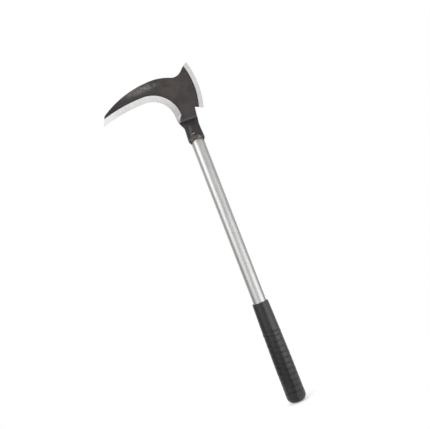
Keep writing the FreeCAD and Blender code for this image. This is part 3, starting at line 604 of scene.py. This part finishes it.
def drill_for_pin(piece):
    """Hole for the lock pin through the piece's front wall."""
    low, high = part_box("lock_pin")
    radius = (high.z - low.z) / 2
    drill = bmesh.new()
    away = Matrix.Translation((low.x + radius, low.y, low.z + radius)) @ Matrix.Rotation(math.pi / 2, 4, "X")
    bmesh.ops.create_cone(drill, cap_ends=True, segments=48, radius1=radius, radius2=radius,
                          depth=4 * radius, matrix=away)
    mesh = bpy.data.meshes.new("drill")
    drill.to_mesh(mesh)
    drill.free()
    cutter = bpy.data.objects.new("drill", mesh)
    bpy.context.scene.collection.objects.link(cutter)
    hole = piece.modifiers.new("hole", "BOOLEAN")
    hole.operation, hole.solver, hole.object = "DIFFERENCE", "EXACT", cutter
    apply_modifiers(piece)
    piece.data.set_sharp_from_angle(angle=math.radians(40))
    bpy.data.objects.remove(cutter)


def grip_reach(ring, angle):
    """Grooves die out towards the mould lines at both sides, where a thin flash ridge stands."""
    radius, _, groove = ring
    side = abs(math.cos(angle))
    fade = min(max((1 - side) / 0.10, 0), 1)
    outside = radius > TUBE_RADIUS / MM + 1
    ridge = FLASH_HEIGHT * math.exp(-((side - 1) / FLASH_WIDTH) ** 2) if outside else 0
    return radius - groove * (0.15 + 0.85 * fade) + ridge


def make_grip(material):
    """Rubber grip turned on the handle's axis: barrelled, with ring grooves and a collar."""
    outline = grip_outline(3 * int(GRIP_LENGTH / MM))
    stand_in(turned("rubber_grip", outline, 160, grip_reach, closed=False), "grip", material)


def grip_outline(rows):
    """(radius, height, groove depth) from the butt's centre out, up the side and down the bore."""
    length = GRIP_LENGTH / MM
    outline = [(0.6, 0.0, 0.0), (3.0, 0.0, 0.0), (FLAT_RADIUS - 0.2, 0.0, 0.0)]
    chord = Vector((BUTT_RADIUS - FLAT_RADIUS, DOME_TOP))
    side = Vector((-chord.y, chord.x)).normalized()
    offset = math.sqrt(DOME_RADIUS ** 2 - chord.length_squared / 4)
    centre = Vector((FLAT_RADIUS, 0)) + chord / 2 + side * offset
    first = math.atan2(-centre.y, FLAT_RADIUS - centre.x)
    last = math.atan2(DOME_TOP - centre.y, BUTT_RADIUS - centre.x)
    for step in range(DOME_STEPS + 1):
        angle = first + (last - first) * step / DOME_STEPS
        outline.append((centre.x + DOME_RADIUS * math.cos(angle),
                        centre.y + DOME_RADIUS * math.sin(angle), 0.0))
    for row in range(1, rows):
        z = DOME_TOP + (length - DOME_TOP - 1.0) * row / rows
        share = (z - DOME_TOP) / (length - DOME_TOP)
        radius = BUTT_RADIUS + (MOUTH_RADIUS - BUTT_RADIUS) * share + BARREL_BULGE * share * (1 - share)
        groove = 0.0
        for height in GROOVES:
            up_the_side = (abs(z - height) - GROOVE_FLOOR / 2) / (GROOVE_MOUTH - GROOVE_FLOOR) * 2
            part = min(max(up_the_side, 0), 1)
            groove = max(groove, GROOVE_DEPTH * (0.5 + 0.5 * math.cos(math.pi * part)))
        if COLLAR_LOW < z < COLLAR_HIGH:
            part = (z - COLLAR_LOW) / (COLLAR_HIGH - COLLAR_LOW)
            radius += COLLAR_RISE * math.sin(math.pi * part) ** 0.5
        outline.append((radius, z, groove))
    lip = MOUTH_RADIUS - LIP_INSET
    for angle in (0.0, 0.4, 0.8, 1.2, 1.57):
        outline.append((lip - LIP_BACK + LIP_ROUND * math.cos(angle),
                        length - LIP_ROUND + LIP_ROUND * math.sin(angle), 0.0))
    bore = TUBE_RADIUS / MM + BORE_CLEARANCE
    outline.append((bore + BORE_ROUND, length, 0.0))
    outline.append((bore, length - BORE_ROUND, 0.0))
    outline.append((bore, length - BORE_SHOWN, 0.0))
    return outline


# ---------------------------------------------------------------- object

blade_black = forged_steel("forged_blade_steel", blade_tint, sheen=0.5)
socket_black = forged_steel("forged_socket_steel", socket_tint, sheen=0.38)
weld = weld_metal()
rubber = moulded_rubber()

rework("blade_body", "forged_blade", 0.45, 8, plate_surface, blade_black)
rework("socket", "forged_socket", 0.34, 12, hammered(0.16, 11), socket_black,
       press=shoulder_weight)
rework("rim_weld", "rim_bead", 0.20, 5, bead(1.5, 0.22, laid_round_rim), weld)
rework("neck_weld", "neck_bead", 0.15, 4, bead(1.5, 0.2, laid_under_foot), weld)
rework("tongue_weld", "tongue_bead", 0.2, 5, bead(1.7, 0.26, laid_round_tongue), weld)
make_tube(satin_tube())
make_grip(rubber)

give(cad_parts["sickle_edge"], ground_steel("hook_edge_steel", follow_hook=True))
give(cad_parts["hatchet_edge"], ground_steel("hatchet_edge_steel", follow_hook=False))
give(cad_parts["lock_pin"], pin_steel())


# ---------------------------------------------------------------- floor, light and camera

def make_floor():
    """Pale round floor that the butt stands on."""
    around, reach = 96, 0.25
    rim = [(reach * math.cos(2 * math.pi * step / around), reach * math.sin(2 * math.pi * step / around), 0)
           for step in range(around)]
    mesh = bpy.data.meshes.new("floor")
    mesh.from_pydata(rim, [], [tuple(range(around))])
    floor = bpy.data.objects.new("floor", mesh)
    bpy.context.scene.collection.objects.link(floor)
    shader = Shader("pale_floor")
    cloud = shader.noise(shader.place, 0.004, 2.0, 0.5)
    colour = shader.blend(cloud, (0.80, 0.80, 0.80), (0.82, 0.82, 0.82))
    give(floor, shader.finish(colour, 0.9, Emission_Color=(1, 1, 1, 1), Emission_Strength=0.35))


def make_light(name, place, target, size, power):
    light = bpy.data.lights.new(name, "AREA")
    light.shape = "RECTANGLE"
    light.size, light.size_y = size
    light.energy = power
    lamp = bpy.data.objects.new(name, light)
    bpy.context.scene.collection.objects.link(lamp)
    lamp.location = place
    lamp.rotation_euler = (Vector(target) - Vector(place)).to_track_quat("-Z", "Y").to_euler()


class Sky(Shader):
    """The studio round the object: a grey room with soft panels, white where it is seen directly."""

    def __init__(self):
        world = bpy.data.worlds.new("studio")
        bpy.context.scene.world = world
        world.use_nodes = True
        self.tree = world.node_tree
        self.tree.nodes.clear()
        x, y, z = self.parts(self.add("ShaderNodeTexCoord").outputs["Generated"])
        degree = math.pi / 180
        self.turn = self.math("DIVIDE", self.math("ARCTAN2", x, self.math("MULTIPLY", y, -1.0)), degree)
        self.rise = self.math("DIVIDE", self.math("ARCSINE", z), degree)

    def light_with(self, level):
        room = self.add("ShaderNodeBackground")
        self.feed(room.inputs["Strength"], level)
        seen = self.add("ShaderNodeBackground")
        for background in (room, seen):
            background.inputs["Color"].default_value = (1, 1, 1, 1)
        seen.inputs["Strength"].default_value = 1.0
        mix = self.add("ShaderNodeMixShader")
        output = self.add("ShaderNodeOutputWorld")
        self.feed(mix.inputs[0], self.add("ShaderNodeLightPath").outputs["Is Camera Ray"])
        self.feed(mix.inputs[1], room.outputs[0])
        self.feed(mix.inputs[2], seen.outputs[0])
        self.feed(output.inputs["Surface"], mix.outputs[0])


def make_sky():
    """Turn is measured to the right of straight out of the front, rise above the level, in degrees."""
    sky = Sky()
    ahead = sky.band(sky.turn, -60, -20, 20, 60)
    sides = sky.span(sky.rise, -12, 2, 0.18, 0.56)
    front = sky.span(sky.rise, -16, -5, 1.05, 0.65)
    level = sky.math("MULTIPLY_ADD", ahead, sky.math("SUBTRACT", front, sides), sides)
    level = sky.math("ADD", level, sky.span(sky.rise, 25, 80, 0.0, 0.45))
    panels = (
        ((36, 48, 60, 84), (-11, -3), (1.1, 0.10)),
        ((22, 30, 80, 112), (-12, -4), (2.1, 0.0)),
        ((-80, -60, -36, -14), (-6, -1), (-0.08, 1.80)),
        ((-170, -150, -135, -115), (-10, 10), (0.55, 0.55)),
        ((125, 145, 155, 172), (-10, 10), (0.55, 0.55)),
    )
    for spread, (low, high), (below, above) in panels:
        height = sky.math("MULTIPLY", sky.span(sky.rise, low, high, below, above),
                          sky.band(sky.rise, -60, -30, 35, 60))
        level = sky.math("MULTIPLY_ADD", sky.band(sky.turn, *spread), height, level)
    underfoot = sky.span(sky.rise, -60, -25, 0.45, 1.0)
    sky.light_with(sky.math("MULTIPLY", level, underfoot))


def make_camera():
    """Level with the middle of the tool, square to the blade, rolled so that the handle leans left."""
    lens_data = bpy.data.cameras.new("camera")
    camera = bpy.data.objects.new("camera", lens_data)
    bpy.context.scene.collection.objects.link(camera)
    bpy.context.scene.camera = camera
    distance, seen_width = 1.46, 0.7243
    lens_data.sensor_width = 36.0
    lens_data.lens = lens_data.sensor_width * distance / seen_width
    roll = math.atan(0.388)
    right = Vector((math.cos(roll), 0, -math.sin(roll)))
    up = Vector((math.sin(roll), 0, math.cos(roll)))
    axes = Matrix((right, up, right.cross(up))).transposed()
    camera.matrix_world = Matrix.Translation((-0.0172, -distance, 0.3439)) @ axes.to_4x4()
    lens_data.clip_start, lens_data.clip_end = 0.05, 100


make_floor()
make_sky()
make_light("key", (-0.7, -1.5, 1.5), (0, 0, 0.4), (1.0, 1.0), 3.0)
make_camera()
bpy.context.scene.view_settings.view_transform = "Standard"
